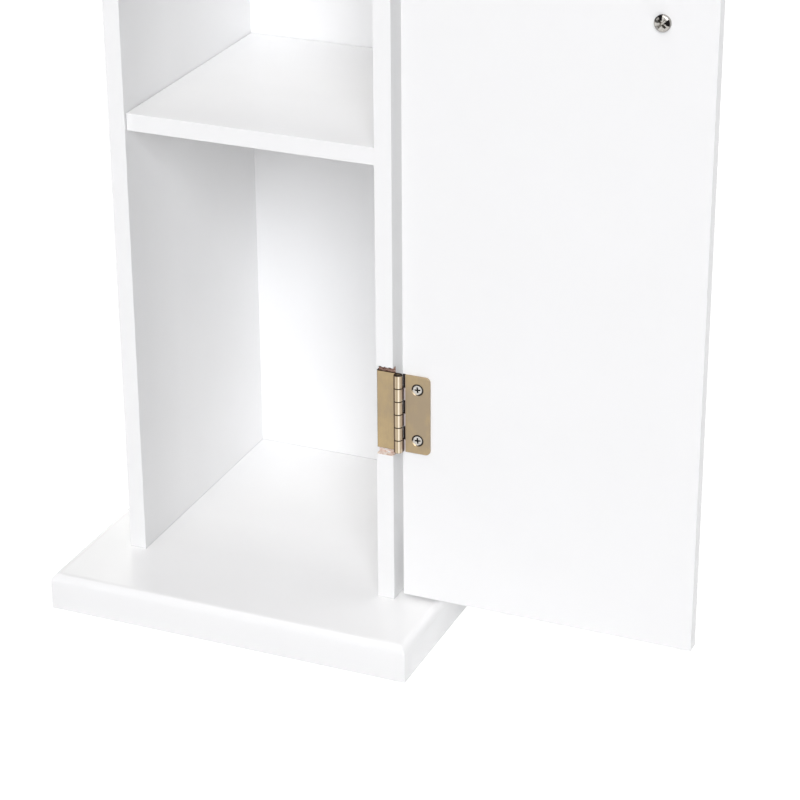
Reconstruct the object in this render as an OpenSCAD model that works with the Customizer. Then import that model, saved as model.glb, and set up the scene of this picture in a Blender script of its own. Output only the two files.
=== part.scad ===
// Slim bathroom corner cabinet: a narrow carcass between two moulded boards, with one hinged door.
// Millimetres. The origin is the middle of the base board's underside, +Z is up, and the door
// closes the side that faces -Y. The door is drawn open by 180 degrees, turned about its hinge pins.

/* [Carcass] */
// Width over the two side panels
body_w = 152.5; // [130:0.5:220]
// Depth from the front edges of the side panels to the back
body_d = 150; // [120:1:220]
// Height of the side panels
body_h = 640; // [600:1:800]
// Thickness of the side panels
side_t = 9; // [9:0.5:14]
// Thickness of the back panel
back_t = 6; // [4:0.5:8]
// How far the back panel reaches into each side panel
rebate_w = 4.5; // [3:0.5:5]

/* [Base and top boards] */
// Thickness of the base board
base_t = 20; // [16:0.5:28]
// Thickness of the top board
top_t = 20; // [16:0.5:28]
// How far both boards stand out in front of the side panels
board_front = 44; // [20:1:60]
// How far both boards stand out at each side
board_side = 24.2; // [10:0.1:40]
// Radius of the quarter round along their edges
board_edge_r = 4.5; // [2:0.5:8]

/* [Shelves] */
// Clear height below the lower shelf
lower_clear = 234.5; // [200:0.5:250]
// Clear height between the shelves
middle_clear = 194; // [150:0.5:220]
// Thickness of the shelves
shelf_t = 9; // [6:0.5:14]
// How far the shelves stop behind the side panels' front edges
shelf_setback = 1.5; // [0.5:0.5:20]
// Gap at each end of a shelf
shelf_end_gap = 0.3; // [0.1:0.1:1]
// Gap behind a shelf
shelf_back_gap = 0.5; // [0:0.1:3]
// Diameter of the shelf pins
shelf_pin_d = 5; // [3:0.5:6]
// How far a shelf pin reaches into its side panel
shelf_pin_in = 6; // [4:0.5:7]
// How far a shelf pin stands out
shelf_pin_out = 8; // [5:0.5:14]
// From a shelf's front or back edge to its pins
shelf_pin_inset = 30; // [12:1:45]

/* [Door] */
// Width of the door
door_w = 153.5; // [130:0.5:220]
// Thickness of the door
door_t = 9; // [9:0.5:14]
// Gap between the door and each of the two boards
door_end_gap = 2.4; // [1:0.1:6]
// Gap between the closed door and the side panels
door_gap = 1; // [0.5:0.1:2]
// How far the closed door covers past the right side panel
door_over = 0.7; // [0:0.1:1]
// Radius along the outer edges of the door
door_edge_r = 2.3; // [1:0.1:4]

/* [Hinges] */
// Height of a hinge
hinge_h = 42.3; // [40:0.1:60]
// Thickness of the leaves
leaf_t = 1; // [0.8:0.1:1.2]
// Outside diameter of the knuckles
knuckle_d = 4.6; // [4.6:0.1:6]
// Diameter of the hinge pins
pin_d = 2.5; // [1.6:0.1:2.5]
// How far the pins' ends lie inside the knuckles
pin_recess = 0.3; // [0:0.1:1]
// Radial clearance of the door leaf's knuckles on the pin
pin_play = 0.05; // [0.02:0.01:0.1]
// Gap between two knuckles
knuckle_gap = 0.3; // [0.1:0.05:0.4]
// From the side panel's outer face to the pin's axis
hinge_out = 2.25; // [2.2:0.05:2.6]
// From each board to the middle of the nearer hinge
hinge_inset = 105.4; // [60:0.1:140]
// From the pin's axis to the door leaf's outer edge
door_leaf_w = 16.5; // [14:0.5:24]
// Corner radius of the leaves
leaf_corner_r = 2.5; // [1:0.5:4]
// From the pin's axis to the door leaf where the other leaf's knuckles turn
door_leaf_notch = 3.2; // [3:0.1:4]
// From the pin's axis to the frame leaf where the door leaf's knuckles turn
frame_leaf_notch = 2.25; // [2.2:0.05:2.5]
// Width of the frame leaf's flange on the side panel's inner face
wrap_w = 12; // [10:0.5:20]
// Distance between the two screws of a leaf
hinge_screw_pitch = 27.8; // [20:0.1:30]
// From the pin's axis to the door leaf's screws
door_screw_x = 9.8; // [7:0.1:12]
// From the flange's bend to its screws
wrap_screw_in = 6; // [5:0.5:8]
// Room above the frame leaf in its mortise
mortise_above = 3.4; // [0:0.1:6]
// Room below the frame leaf in its mortise
mortise_below = 2.3; // [0:0.1:6]
// Depth of the pockets in the door that clear the frame leaf's knuckles
relief_depth = 1; // [1:0.5:4]

/* [Knob] */
// Height of the knob above the base board's underside
knob_z = 341; // [150:1:500]
// From the door's free edge to the knob's axis
knob_inset = 26.2; // [18:0.1:60]
// Diameter of the knob's head
knob_d = 28; // [22:0.5:40]
// Diameter of the knob's foot
knob_foot_d = 15; // [13:0.5:20]
// Thickness of the knob's foot
knob_foot_h = 2; // [1:0.5:4]
// How far the neck steps in from the foot
knob_foot_step = 1; // [0:0.5:1.5]
// Diameter of the knob's neck below its head
knob_neck_d = 10; // [8:0.5:11]
// Radius of the head's rim
knob_rim_r = 5; // [3:0.5:6]
// Height of the dome on the head
knob_dome_h = 1.5; // [0.5:0.5:2.5]
// How far the knob stands out
knob_out = 24; // [20:0.5:32]
// Diameter of the knob screw
knob_screw_d = 4; // [3:0.5:5]
// Diameter of the knob screw's head
knob_head_d = 8; // [7:0.5:12]
// Height of the knob screw's head
knob_head_h = 2.4; // [1.5:0.1:3]
// How far the knob screw reaches into the knob
knob_screw_in = 10; // [6:0.5:14]

/* [Catch] */
// From the left side panel to the catch
catch_inset = 5.2; // [2:0.1:12]
// Width of the catch's box
catch_w = 26; // [22:0.5:34]
// Depth of the catch's box
catch_d = 15; // [12:0.5:20]
// Height of the catch's box
catch_h = 16; // [15:0.5:18]
// From the top board down to the middle of the magnet
catch_drop = 10; // [9:0.5:11]
// Width of each ear of the catch
ear_w = 9; // [8:0.5:12]
// Thickness of the ears
ear_t = 3; // [2:0.5:4]
// Width of the magnet
magnet_w = 20; // [14:0.5:20]
// Thickness of the magnet
magnet_h = 5; // [3:0.5:6]
// Thickness of the pole plates
pole_t = 1.2; // [0.8:0.1:1.5]
// How far the pole plates stand out of the box
pole_out = 1; // [0.5:0.1:2]
// Gap between the pole plates and the strike plate
strike_gap = 0.1; // [0.1:0.1:0.5]
// Width of the strike plate
strike_w = 30; // [20:1:40]
// Height of the strike plate
strike_h = 11; // [9:0.5:14]
// Thickness of the strike plate
strike_t = 1.2; // [0.8:0.1:1.6]

// Shank diameter of the catch's screws
catch_screw_d = 2.6; // [2:0.1:3]
// Head diameter of the catch's screws
catch_screw_head_d = 5.2; // [4:0.1:6]
// Head height of the catch's screws
catch_screw_head_h = 1.8; // [1:0.1:2.5]
// Length of the catch's screws below the head
catch_screw_l = 12; // [8:0.5:16]
// Shank diameter of the strike plate's screw
strike_screw_d = 3; // [2:0.1:3.2]
// Head diameter of the strike plate's screw
strike_screw_head_d = 5.6; // [5:0.1:6]

/* [Fasteners] */
// Diameter of the dowels
dowel_d = 5; // [4:0.5:6]
// Length of the dowels
dowel_l = 24; // [16:1:30]
// From a side panel's front or back to its outer dowels
dowel_inset = 20; // [15:1:28]
// Shank diameter of the screws in the base board
base_screw_d = 3.5; // [3:0.5:4]
// Length of the screws in the base board
base_screw_l = 40; // [34:1:50]
// From a side panel's front or back to the screws in the base board
base_screw_inset = 45; // [35:1:55]
// Depth to which those screws are sunk
base_screw_sunk = 1; // [0.5:0.5:4]
// Head diameter of those screws
base_head_d = 7; // [6.5:0.1:8]
// Head height of those screws
base_head_h = 2.6; // [1.5:0.1:2.8]
// Gap all round a countersunk head
head_play = 0.15; // [0.05:0.05:0.3]
// Shank diameter of the small screws
small_screw_d = 3.5; // [2.5:0.5:3.5]
// Head diameter of the small countersunk screws
small_head_d = 6.2; // [5.5:0.1:6.5]
// How deep the small screws go into the wood
small_screw_in = 7; // [4:0.5:7]
// Shank diameter of the nails in the back panel
nail_d = 1.2; // [1:0.1:1.6]
// Length of those nails
nail_l = 20; // [14:1:30]
// Diameter of their heads
nail_head_d = 2.4; // [2:0.1:3.4]
// Thickness of their heads
nail_head_h = 0.8; // [0.5:0.1:1.2]
// From the back panel's top or bottom to the nearest nail
nail_inset = 40; // [15:1:80]

/* [Hidden] */
$fn = 48;

// Colours
white_paint = "white";
raw_wood = "burlywood";
antique_brass = "darkgoldenrod";
bright_steel = "silver";
dark_steel = "dimgray";

// Overlap of a cutting shape past the face that it cuts
cut = 1;

// Cross recesses, as shares of the screw head's diameter and height
cross_span = 0.5;
cross_slot = 0.14;
cross_depth = 0.8;

// Places of the carcass
board_w = body_w + 2 * board_side;
board_d = body_d + board_front;
front_y = board_front - board_d / 2;
back_y = board_d / 2;
half_w = body_w / 2;
inner_x = half_w - side_t;
body_top = base_t + body_h;

// Places of the shelves
lower_shelf_z = base_t + lower_clear;
upper_shelf_z = lower_shelf_z + shelf_t + middle_clear;
shelf_front = front_y + shelf_setback;
shelf_back = back_y - back_t - shelf_back_gap;
shelf_pin_ys = [shelf_front + shelf_pin_inset, shelf_back - shelf_pin_inset];
shelf_pin_zs = [lower_shelf_z - shelf_pin_d / 2, upper_shelf_z - shelf_pin_d / 2];

// Places of the hinges and the door, seen from the pin's axis
knuckle_r = knuckle_d / 2;
pin_r = pin_d / 2;
pin_x = half_w + hinge_out;
pin_y = front_y + knuckle_r - door_gap;
hinge_zs = [base_t + hinge_inset, body_top - hinge_inset];
knuckle_count = 6;
knuckle_l = (hinge_h - (knuckle_count - 1) * knuckle_gap) / knuckle_count;
knuckle_step = knuckle_l + knuckle_gap;
panel_inner = -hinge_out - side_t;
door_x0 = hinge_out - door_over;
door_z0 = base_t + door_end_gap;
door_h = body_h - 2 * door_end_gap;
door_knuckles = [0, 2, 4];
frame_knuckles = [1, 3, 5];

// Places of the fasteners
side_xs = [-half_w + side_t / 2, half_w - side_t / 2];
base_dowel_ys = [front_y + dowel_inset, back_y - dowel_inset];
top_dowel_ys = [front_y + dowel_inset, (front_y + back_y) / 2, back_y - dowel_inset];
base_screw_ys = [front_y + base_screw_inset, back_y - base_screw_inset];
nail_xs = [-inner_x - rebate_w / 2, inner_x + rebate_w / 2];
nail_count = 5;
nail_zs = [for (i = [0 : nail_count - 1])
    base_t + nail_inset + i * (body_h - 2 * nail_inset) / (nail_count - 1)];

// Places of the knob and the catch
knob_x = door_x0 + door_w - knob_inset;
knob_y = knuckle_r + door_t;
knob_hole_play = 0.2;
catch_x = inner_x - catch_inset - ear_w - catch_w / 2;
strike_x = pin_x + catch_x;
pole_tip_y = front_y - door_gap + strike_t + strike_gap;
catch_front = pole_tip_y + pole_out;
pole_h = magnet_h + 2 * pole_t;
catch_z = body_top - catch_drop;

// Section through a board from the origin, with its upper corners rounded at the start or the finish
module edged_profile(w, t, r, start, finish) {
    a = start ? r : 0;
    b = finish ? r : 0;
    translate([a, 0]) square([w - a - b, t]);
    square([w, t - r]);
    if (start) translate([r, t - r]) circle(r);
    if (finish) translate([w - r, t - r]) circle(r);
}

// Lying board whose upper edges are rounded in front and at both sides, and at the back if asked
module edged_board(w, d, t, r, back) {
    intersection() {
        translate([0, d, 0]) rotate([90, 0, 0]) linear_extrude(d) edged_profile(w, t, r, true, true);
        rotate([90, 0, 90]) linear_extrude(w) edged_profile(d, t, r, true, back);
    }
}

// Cross recess in a screw head whose top lies at the origin, looking up
module cross_recess(head_d, head_h) {
    span = head_d * cross_span;
    slot = head_d * cross_slot;
    depth = head_h * cross_depth;
    for (turn = [0, 90]) {
        rotate([0, 0, turn]) translate([-span / 2, -slot / 2, -depth]) cube([span, slot, depth + cut]);
    }
}

// Countersunk screw with its head's top at the origin and its tip below
module flat_screw(head_d, shank_d, head_h, l) {
    difference() {
        union() {
            translate([0, 0, -head_h]) cylinder(h = head_h, d1 = head_d - 2 * head_h, d2 = head_d);
            translate([0, 0, -l]) cylinder(h = l - head_h / 2, d = shank_d);
        }
        cross_recess(head_d, head_h);
    }
}

// Hole for such a screw: its countersink in a plate, a bore that its shank fills, and the way to
// a face that lies above a sunk head
module flat_screw_hole(head_d, shank_d, head_h, l, sunk = 0) {
    translate([0, 0, -head_h]) {
        cylinder(h = head_h, d1 = head_d - 2 * head_h + 2 * head_play, d2 = head_d + 2 * head_play);
    }
    translate([0, 0, -l]) cylinder(h = l, d = shank_d);
    cylinder(h = sunk + cut, d = head_d + 2 * head_play);
}

// Screws of one leaf, with the first shape of the children at both places
module at_hinge_screws() {
    for (s = [-1, 1]) translate([0, 0, s * hinge_screw_pitch / 2]) children();
}

// Puts what is drawn about the pin's axis at its place in the open cabinet
module at_pin(z = 0) {
    translate([pin_x, pin_y, z]) children();
}

// Both places of a leaf's screws in the door, heads towards the front
module at_door_leaf_screws() {
    at_hinge_screws() translate([door_screw_x, knuckle_r - leaf_t, 0]) rotate([90, 0, 0]) children();
}

// Both places of a leaf's screws in the side panel, heads towards the inside
module at_frame_leaf_screws() {
    at_hinge_screws() {
        translate([panel_inner - leaf_t, knuckle_r + wrap_screw_in, 0]) rotate([0, -90, 0]) children();
    }
}

module small_screw() {
    flat_screw(small_head_d, small_screw_d, leaf_t, leaf_t + small_screw_in);
}

module small_screw_hole() {
    flat_screw_hole(small_head_d, small_screw_d, leaf_t, leaf_t + small_screw_in);
}

// Knuckles of one leaf, with the short plates that join them to it
module knuckles(which, notch, side, bore_r) {
    for (k = which) {
        translate([0, 0, k * knuckle_step - hinge_h / 2]) difference() {
            union() {
                cylinder(h = knuckle_l, r = knuckle_r);
                translate([side > 0 ? 0 : -notch, knuckle_r - leaf_t, 0]) cube([notch, leaf_t, knuckle_l]);
            }
            translate([0, 0, -cut]) cylinder(h = knuckle_l + 2 * cut, r = bore_r);
        }
    }
}

// Rounded plate outline from x0 to x1, centred on z, its corners rounded only at x1
module leaf_outline(x0, x1, h, r) {
    translate([x0, -h / 2]) square([x1 - x0 - r, h]);
    translate([x0, -h / 2 + r]) square([x1 - x0, h - 2 * r]);
    for (s = [-1, 1]) translate([x1 - r, s * (h / 2 - r)]) circle(r);
}

// Leaf on the door's inner face, seen from the pin's axis
module door_leaf() {
    color(antique_brass) difference() {
        union() {
            translate([0, knuckle_r, 0]) rotate([90, 0, 0]) linear_extrude(leaf_t) {
                leaf_outline(door_leaf_notch, door_leaf_w, hinge_h, leaf_corner_r);
            }
            knuckles(door_knuckles, door_leaf_notch, 1, pin_r + pin_play);
        }
        at_door_leaf_screws() small_screw_hole();
    }
}

// Leaf that covers the side panel's front edge and wraps round onto its inner face
module frame_leaf() {
    color(antique_brass) difference() {
        union() {
            intersection() {
                translate([0, 0, -hinge_h / 2]) linear_extrude(hinge_h) {
                    translate([panel_inner, knuckle_r - leaf_t]) {
                        square([-panel_inner - frame_leaf_notch, leaf_t]);
                    }
                    translate([panel_inner - leaf_t, knuckle_r]) square([leaf_t, wrap_w]);
                    intersection() {
                        translate([panel_inner, knuckle_r]) circle(leaf_t);
                        translate([panel_inner - leaf_t, knuckle_r - leaf_t]) square(leaf_t);
                    }
                }
                translate([panel_inner - 2 * leaf_t, 0, 0]) rotate([90, 0, 90]) linear_extrude(side_t + hinge_out) {
                    leaf_outline(0, knuckle_r + wrap_w, hinge_h, leaf_corner_r);
                }
            }
            knuckles(frame_knuckles, frame_leaf_notch, -1, pin_r);
        }
        at_frame_leaf_screws() small_screw_hole();
    }
}

module hinge_pin() {
    color(antique_brass) translate([0, 0, -hinge_h / 2 + pin_recess]) {
        cylinder(h = hinge_h - 2 * pin_recess, r = pin_r);
    }
}

module base_board() {
    color(white_paint) difference() {
        translate([-board_w / 2, -board_d / 2, 0]) {
            edged_board(board_w, board_d, base_t, board_edge_r, false);
        }
        for (x = side_xs) {
            for (y = base_dowel_ys) {
                translate([x, y, base_t - dowel_l / 2]) cylinder(h = dowel_l, d = dowel_d);
            }
            for (y = base_screw_ys) translate([x, y, base_screw_sunk]) rotate([180, 0, 0]) {
                flat_screw_hole(base_head_d, base_screw_d, base_head_h, base_screw_l, base_screw_sunk);
            }
        }
    }
}

module top_board() {
    color(white_paint) difference() {
        translate([-board_w / 2, -board_d / 2, body_top + top_t]) mirror([0, 0, 1]) {
            edged_board(board_w, board_d, top_t, board_edge_r, false);
        }
        for (x = side_xs, y = top_dowel_ys) {
            translate([x, y, body_top - dowel_l / 2]) cylinder(h = dowel_l, d = dowel_d);
        }
        at_catch_screws() translate([0, 0, -catch_screw_l]) cylinder(h = catch_screw_l, d = catch_screw_d);
    }
}

// Left side panel; the right one is its mirror image with the hinge mortises added
module side_panel() {
    difference() {
        translate([-half_w, front_y, base_t]) cube([side_t, body_d, body_h]);
        translate([-inner_x - rebate_w, back_y - back_t, base_t - cut]) {
            cube([rebate_w + cut, back_t + cut, body_h + 2 * cut]);
        }
        for (y = base_dowel_ys) {
            translate([side_xs[0], y, base_t - dowel_l / 2]) cylinder(h = dowel_l, d = dowel_d);
        }
        for (y = top_dowel_ys) {
            translate([side_xs[0], y, body_top - dowel_l / 2]) cylinder(h = dowel_l, d = dowel_d);
        }
        for (y = base_screw_ys) {
            translate([side_xs[0], y, base_screw_sunk]) cylinder(h = base_screw_l, d = base_screw_d);
        }
        for (y = shelf_pin_ys, z = shelf_pin_zs) {
            translate([-inner_x - shelf_pin_in, y, z]) rotate([0, 90, 0]) {
                cylinder(h = shelf_pin_in + cut, d = shelf_pin_d);
            }
        }
        for (z = nail_zs) {
            translate([nail_xs[0], back_y, z]) rotate([90, 0, 0]) cylinder(h = nail_l, d = nail_d);
        }
    }
}

module left_side_panel() {
    color(white_paint) side_panel();
}

module right_side_panel() {
    mortise_h = mortise_below + hinge_h + mortise_above;
    color(white_paint) difference() {
        mirror([1, 0, 0]) side_panel();
        for (z = hinge_zs) {
            translate([inner_x - cut, front_y - cut, z - hinge_h / 2 - mortise_below]) {
                cube([side_t + 2 * cut, pin_y + knuckle_r - front_y + cut, mortise_h]);
            }
            at_pin(z) at_frame_leaf_screws() small_screw_hole();
        }
    }
}

module back_panel() {
    w = 2 * (inner_x + rebate_w);
    color(white_paint) difference() {
        translate([-w / 2, back_y - back_t, base_t]) cube([w, back_t, body_h]);
        for (x = nail_xs, z = nail_zs) translate([x, back_y, z]) rotate([90, 0, 0]) {
            cylinder(h = nail_l, d = nail_d);
            translate([0, 0, -cut]) cylinder(h = nail_head_h + cut, d = nail_head_d);
        }
    }
}

module shelf(z) {
    color(white_paint) translate([-inner_x + shelf_end_gap, shelf_front, z]) {
        cube([2 * (inner_x - shelf_end_gap), shelf_back - shelf_front, shelf_t]);
    }
}

module shelf_pins(z) {
    color(bright_steel) for (side = [0, 1], y = shelf_pin_ys) {
        mirror([side, 0, 0]) translate([-inner_x - shelf_pin_in, y, z]) rotate([0, 90, 0]) {
            cylinder(h = shelf_pin_in + shelf_pin_out, d = shelf_pin_d);
        }
    }
}

module lower_shelf() {
    shelf(lower_shelf_z);
}

module upper_shelf() {
    shelf(upper_shelf_z);
}

module lower_shelf_pins() {
    shelf_pins(shelf_pin_zs[0]);
}

module upper_shelf_pins() {
    shelf_pins(shelf_pin_zs[1]);
}

module dowels(ys, z) {
    color(raw_wood) for (x = side_xs, y = ys) {
        translate([x, y, z - dowel_l / 2]) cylinder(h = dowel_l, d = dowel_d);
    }
}

module base_dowels() {
    dowels(base_dowel_ys, base_t);
}

module top_dowels() {
    dowels(top_dowel_ys, body_top);
}

module base_screws() {
    color(bright_steel) for (x = side_xs, y = base_screw_ys) {
        translate([x, y, base_screw_sunk]) rotate([180, 0, 0]) {
            flat_screw(base_head_d, base_screw_d, base_head_h, base_screw_l);
        }
    }
}

module back_panel_nails() {
    color(bright_steel) for (x = nail_xs, z = nail_zs) {
        translate([x, back_y, z]) rotate([90, 0, 0]) {
            cylinder(h = nail_l, d = nail_d);
            cylinder(h = nail_head_h, d = nail_head_d);
        }
    }
}

module lower_hinge_frame_leaf() {
    at_pin(hinge_zs[0]) frame_leaf();
}

module upper_hinge_frame_leaf() {
    at_pin(hinge_zs[1]) frame_leaf();
}

module lower_hinge_pin() {
    at_pin(hinge_zs[0]) hinge_pin();
}

module upper_hinge_pin() {
    at_pin(hinge_zs[1]) hinge_pin();
}

module lower_hinge_frame_screws() {
    color(bright_steel) at_pin(hinge_zs[0]) at_frame_leaf_screws() small_screw();
}

module upper_hinge_frame_screws() {
    color(bright_steel) at_pin(hinge_zs[1]) at_frame_leaf_screws() small_screw();
}

// Both places of the catch's screws, heads down against the ears
module at_catch_screws() {
    for (s = [-1, 1]) {
        translate([-catch_x + s * (catch_w + ear_w) / 2, catch_front + catch_d / 2, body_top - ear_t]) {
            rotate([180, 0, 0]) children();
        }
    }
}

module catch_housing() {
    color(white_paint) difference() {
        union() {
            translate([-catch_x - catch_w / 2, catch_front, body_top - catch_h]) {
                cube([catch_w, catch_d, catch_h]);
            }
            translate([-catch_x - catch_w / 2 - ear_w, catch_front, body_top - ear_t]) {
                cube([catch_w + 2 * ear_w, catch_d, ear_t]);
            }
        }
        translate([-catch_x - magnet_w / 2, catch_front - cut, catch_z - pole_h / 2]) {
            cube([magnet_w, catch_d - ear_t + cut, pole_h]);
        }
        at_catch_screws() translate([0, 0, -ear_t - cut]) cylinder(h = ear_t + 2 * cut, d = catch_screw_d);
    }
}

module catch_magnet() {
    color(dark_steel) translate([-catch_x - magnet_w / 2, catch_front, catch_z - magnet_h / 2]) {
        cube([magnet_w, catch_d - ear_t, magnet_h]);
    }
}

module catch_pole_plates() {
    color(bright_steel) for (z = [catch_z - magnet_h / 2 - pole_t, catch_z + magnet_h / 2]) {
        translate([-catch_x - magnet_w / 2, pole_tip_y, z]) cube([magnet_w, catch_d - ear_t + pole_out, pole_t]);
    }
}

module catch_screws() {
    color(bright_steel) at_catch_screws() difference() {
        union() {
            translate([0, 0, -catch_screw_l]) cylinder(h = catch_screw_l, d = catch_screw_d);
            cylinder(h = catch_screw_head_h, d = catch_screw_head_d);
        }
        translate([0, 0, catch_screw_head_h]) cross_recess(catch_screw_head_d, catch_screw_head_h);
    }
}

module door_panel() {
    color(white_paint) at_pin() difference() {
        translate([door_x0, knuckle_r, door_z0]) mirror([0, 1, 0]) rotate([90, 0, 0]) {
            edged_board(door_w, door_h, door_t, door_edge_r, true);
        }
        for (z = hinge_zs) translate([0, 0, z]) {
            at_door_leaf_screws() small_screw_hole();
            for (k = frame_knuckles) {
                translate([0, knuckle_r - cut, k * knuckle_step - hinge_h / 2]) {
                    cube([door_leaf_notch, relief_depth + cut, knuckle_l]);
                }
            }
        }
        translate([knob_x, knuckle_r - cut, knob_z]) rotate([-90, 0, 0]) {
            cylinder(h = door_t + 2 * cut, d = knob_screw_d + knob_hole_play);
        }
        at_strike_screw() cylinder(h = 2 * (strike_t + small_screw_in), d = strike_screw_d, center = true);
    }
}

module lower_hinge_door_leaf() {
    at_pin(hinge_zs[0]) door_leaf();
}

module upper_hinge_door_leaf() {
    at_pin(hinge_zs[1]) door_leaf();
}

module lower_hinge_door_screws() {
    color(bright_steel) at_pin(hinge_zs[0]) at_door_leaf_screws() small_screw();
}

module upper_hinge_door_screws() {
    color(bright_steel) at_pin(hinge_zs[1]) at_door_leaf_screws() small_screw();
}

// Turned knob on the door's outer face, with a flared foot and a domed head
module door_knob() {
    head_r = knob_d / 2;
    flat_r = head_r - knob_rim_r;
    rim_z = knob_out - knob_dome_h - knob_rim_r;
    dome_r = (flat_r * flat_r + knob_dome_h * knob_dome_h) / (2 * knob_dome_h);
    color(antique_brass) at_pin() translate([knob_x, knob_y, knob_z]) rotate([-90, 0, 0]) difference() {
        union() {
            cylinder(h = knob_foot_h, d = knob_foot_d);
            cylinder(h = rim_z, d1 = knob_foot_d - 2 * knob_foot_step, d2 = knob_neck_d);
            rotate_extrude() intersection() {
                union() {
                    translate([flat_r, rim_z]) circle(knob_rim_r);
                    translate([0, rim_z - knob_rim_r]) square([flat_r, 2 * knob_rim_r]);
                }
                square([head_r, knob_out]);
            }
            intersection() {
                translate([0, 0, knob_out - dome_r]) sphere(dome_r);
                translate([0, 0, knob_out - knob_dome_h - cut]) cylinder(h = knob_dome_h + 2 * cut, r = flat_r);
            }
        }
        translate([0, 0, -cut]) cylinder(h = knob_screw_in + cut, d = knob_screw_d);
    }
}

// Screw through the door with a low domed head on the inner face
module knob_screw() {
    ball_r = (knob_head_d * knob_head_d / 4 + knob_head_h * knob_head_h) / (2 * knob_head_h);
    l = door_t + knob_screw_in;
    color(bright_steel) at_pin() translate([knob_x, knuckle_r, knob_z]) rotate([90, 0, 0]) difference() {
        union() {
            intersection() {
                translate([0, 0, knob_head_h - ball_r]) sphere(ball_r);
                cylinder(h = knob_head_h + cut, d = knob_head_d);
            }
            translate([0, 0, -l]) cylinder(h = l, d = knob_screw_d);
        }
        translate([0, 0, knob_head_h]) cross_recess(knob_head_d, knob_head_h);
    }
}

// Place of the strike plate's screw, its head towards the front
module at_strike_screw() {
    translate([strike_x, knuckle_r - strike_t, catch_z]) rotate([90, 0, 0]) children();
}

module strike_plate() {
    color(bright_steel) at_pin() difference() {
        translate([strike_x - strike_w / 2, knuckle_r - strike_t, catch_z - strike_h / 2]) {
            cube([strike_w, strike_t, strike_h]);
        }
        at_strike_screw() {
            flat_screw_hole(strike_screw_head_d, strike_screw_d, strike_t, strike_t + small_screw_in);
        }
    }
}

module strike_screw() {
    color(bright_steel) at_pin() at_strike_screw() {
        flat_screw(strike_screw_head_d, strike_screw_d, strike_t, strike_t + small_screw_in);
    }
}

base_board();
top_board();
left_side_panel();
right_side_panel();
back_panel();
lower_shelf();
upper_shelf();
lower_shelf_pins();
upper_shelf_pins();
base_dowels();
top_dowels();
base_screws();
back_panel_nails();
lower_hinge_frame_leaf();
lower_hinge_pin();
lower_hinge_frame_screws();
upper_hinge_frame_leaf();
upper_hinge_pin();
upper_hinge_frame_screws();
catch_housing();
catch_magnet();
catch_pole_plates();
catch_screws();
door_panel();
lower_hinge_door_leaf();
lower_hinge_door_screws();
upper_hinge_door_leaf();
upper_hinge_door_screws();
door_knob();
knob_screw();
strike_plate();
strike_screw();
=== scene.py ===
"""Looks of a slim white bathroom cabinet with its door open: painted board, brass hinges, steel screws."""

import math

import bmesh
import bpy
from mathutils import Matrix, Vector


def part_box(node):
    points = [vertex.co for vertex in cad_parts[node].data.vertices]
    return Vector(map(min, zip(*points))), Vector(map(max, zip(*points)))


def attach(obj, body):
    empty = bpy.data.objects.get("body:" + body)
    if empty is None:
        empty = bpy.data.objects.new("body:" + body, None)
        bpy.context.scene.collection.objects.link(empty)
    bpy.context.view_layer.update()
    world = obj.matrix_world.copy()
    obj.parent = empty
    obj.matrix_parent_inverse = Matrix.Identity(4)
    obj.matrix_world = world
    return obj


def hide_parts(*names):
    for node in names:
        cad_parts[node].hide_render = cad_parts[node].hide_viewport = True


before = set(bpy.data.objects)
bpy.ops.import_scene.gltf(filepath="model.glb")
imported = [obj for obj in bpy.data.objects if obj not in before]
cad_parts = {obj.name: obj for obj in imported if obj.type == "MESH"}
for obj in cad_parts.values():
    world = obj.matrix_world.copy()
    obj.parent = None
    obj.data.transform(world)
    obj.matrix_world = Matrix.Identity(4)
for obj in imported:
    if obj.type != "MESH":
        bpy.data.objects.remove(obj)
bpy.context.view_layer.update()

MM = 0.001

# Camera, as found from the edges in the photograph, in the part's frame
CAMERA_PLACE = Vector((554.3, -1168.1, 702.6)) * MM
CAMERA_YAW = math.radians(23.04)
CAMERA_PITCH = math.radians(25.15)
CAMERA_ROLL = math.radians(-0.32)
CAMERA_LENS = 121.7
CAMERA_RANGE = (0.05, 50)
SENSOR_WIDTH = 36.0

# Softened edges of the painted boards, the metal and the plastic
PAINT_EDGE = 0.25 * MM
PANEL_EDGE = 0.2 * MM
METAL_EDGE = 0.14 * MM
PLASTIC_EDGE = 0.5 * MM

# Angles between faces: flat ones are joined, a board's edge is softened, a turned piece's edge stays sharp
FLAT = math.radians(0.5)
BOARD_EDGE = math.radians(28)
TURNED_EDGE = math.radians(35)

# Points closer than this are one: in a CAD solid that is measured, in one that is copied, and after a cut
MERGE_MEASURED = 1e-6
MERGE_COPIED = 2e-6
MERGE_CUT = 1e-7
NOTHING = 1e-9

# Floor: its half width and height, the colour that gives light back to the cabinet, and what the camera
# sees, which is the floor's own white with light and shadow added to it
FLOOR_REACH = 4.0
FLOOR_HEIGHT = -0.1 * MM
FLOOR_COLOUR = (0.9, 0.9, 0.9, 1)
FLOOR_ROUGH = 0.9
FLOOR_GLOW = 0.9
FLOOR_SHADED = (0.3, 0.3, 0.3, 1)

# Soft boxes round the cabinet: name, azimuth, elevation, watts and colour; all the same size and distance
LAMP_AIM = Vector((0.05, 0, 0.3))
LAMP_AWAY = 8.5
LAMP_SIZE = 3.74
LAMPS = [
    ("key softbox", 23, 28, 449, (0.98, 0.99, 1.02)),
    ("top softbox", 0, 55, 172, (1.05, 1.01, 0.95)),
    ("overhead softbox", -60, 75, 158, (0.99, 0.99, 1.02)),
    ("right softbox", 115, 11, 150, (1, 1, 1)),
    ("back softbox", -150, 11, 165, (1.01, 1.02, 0.97)),
]
AMBIENT = 0.03
AMBIENT_COLOUR = (0.9, 0.96, 1.14, 1)
WHITE = (1, 1, 1, 1)

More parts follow.
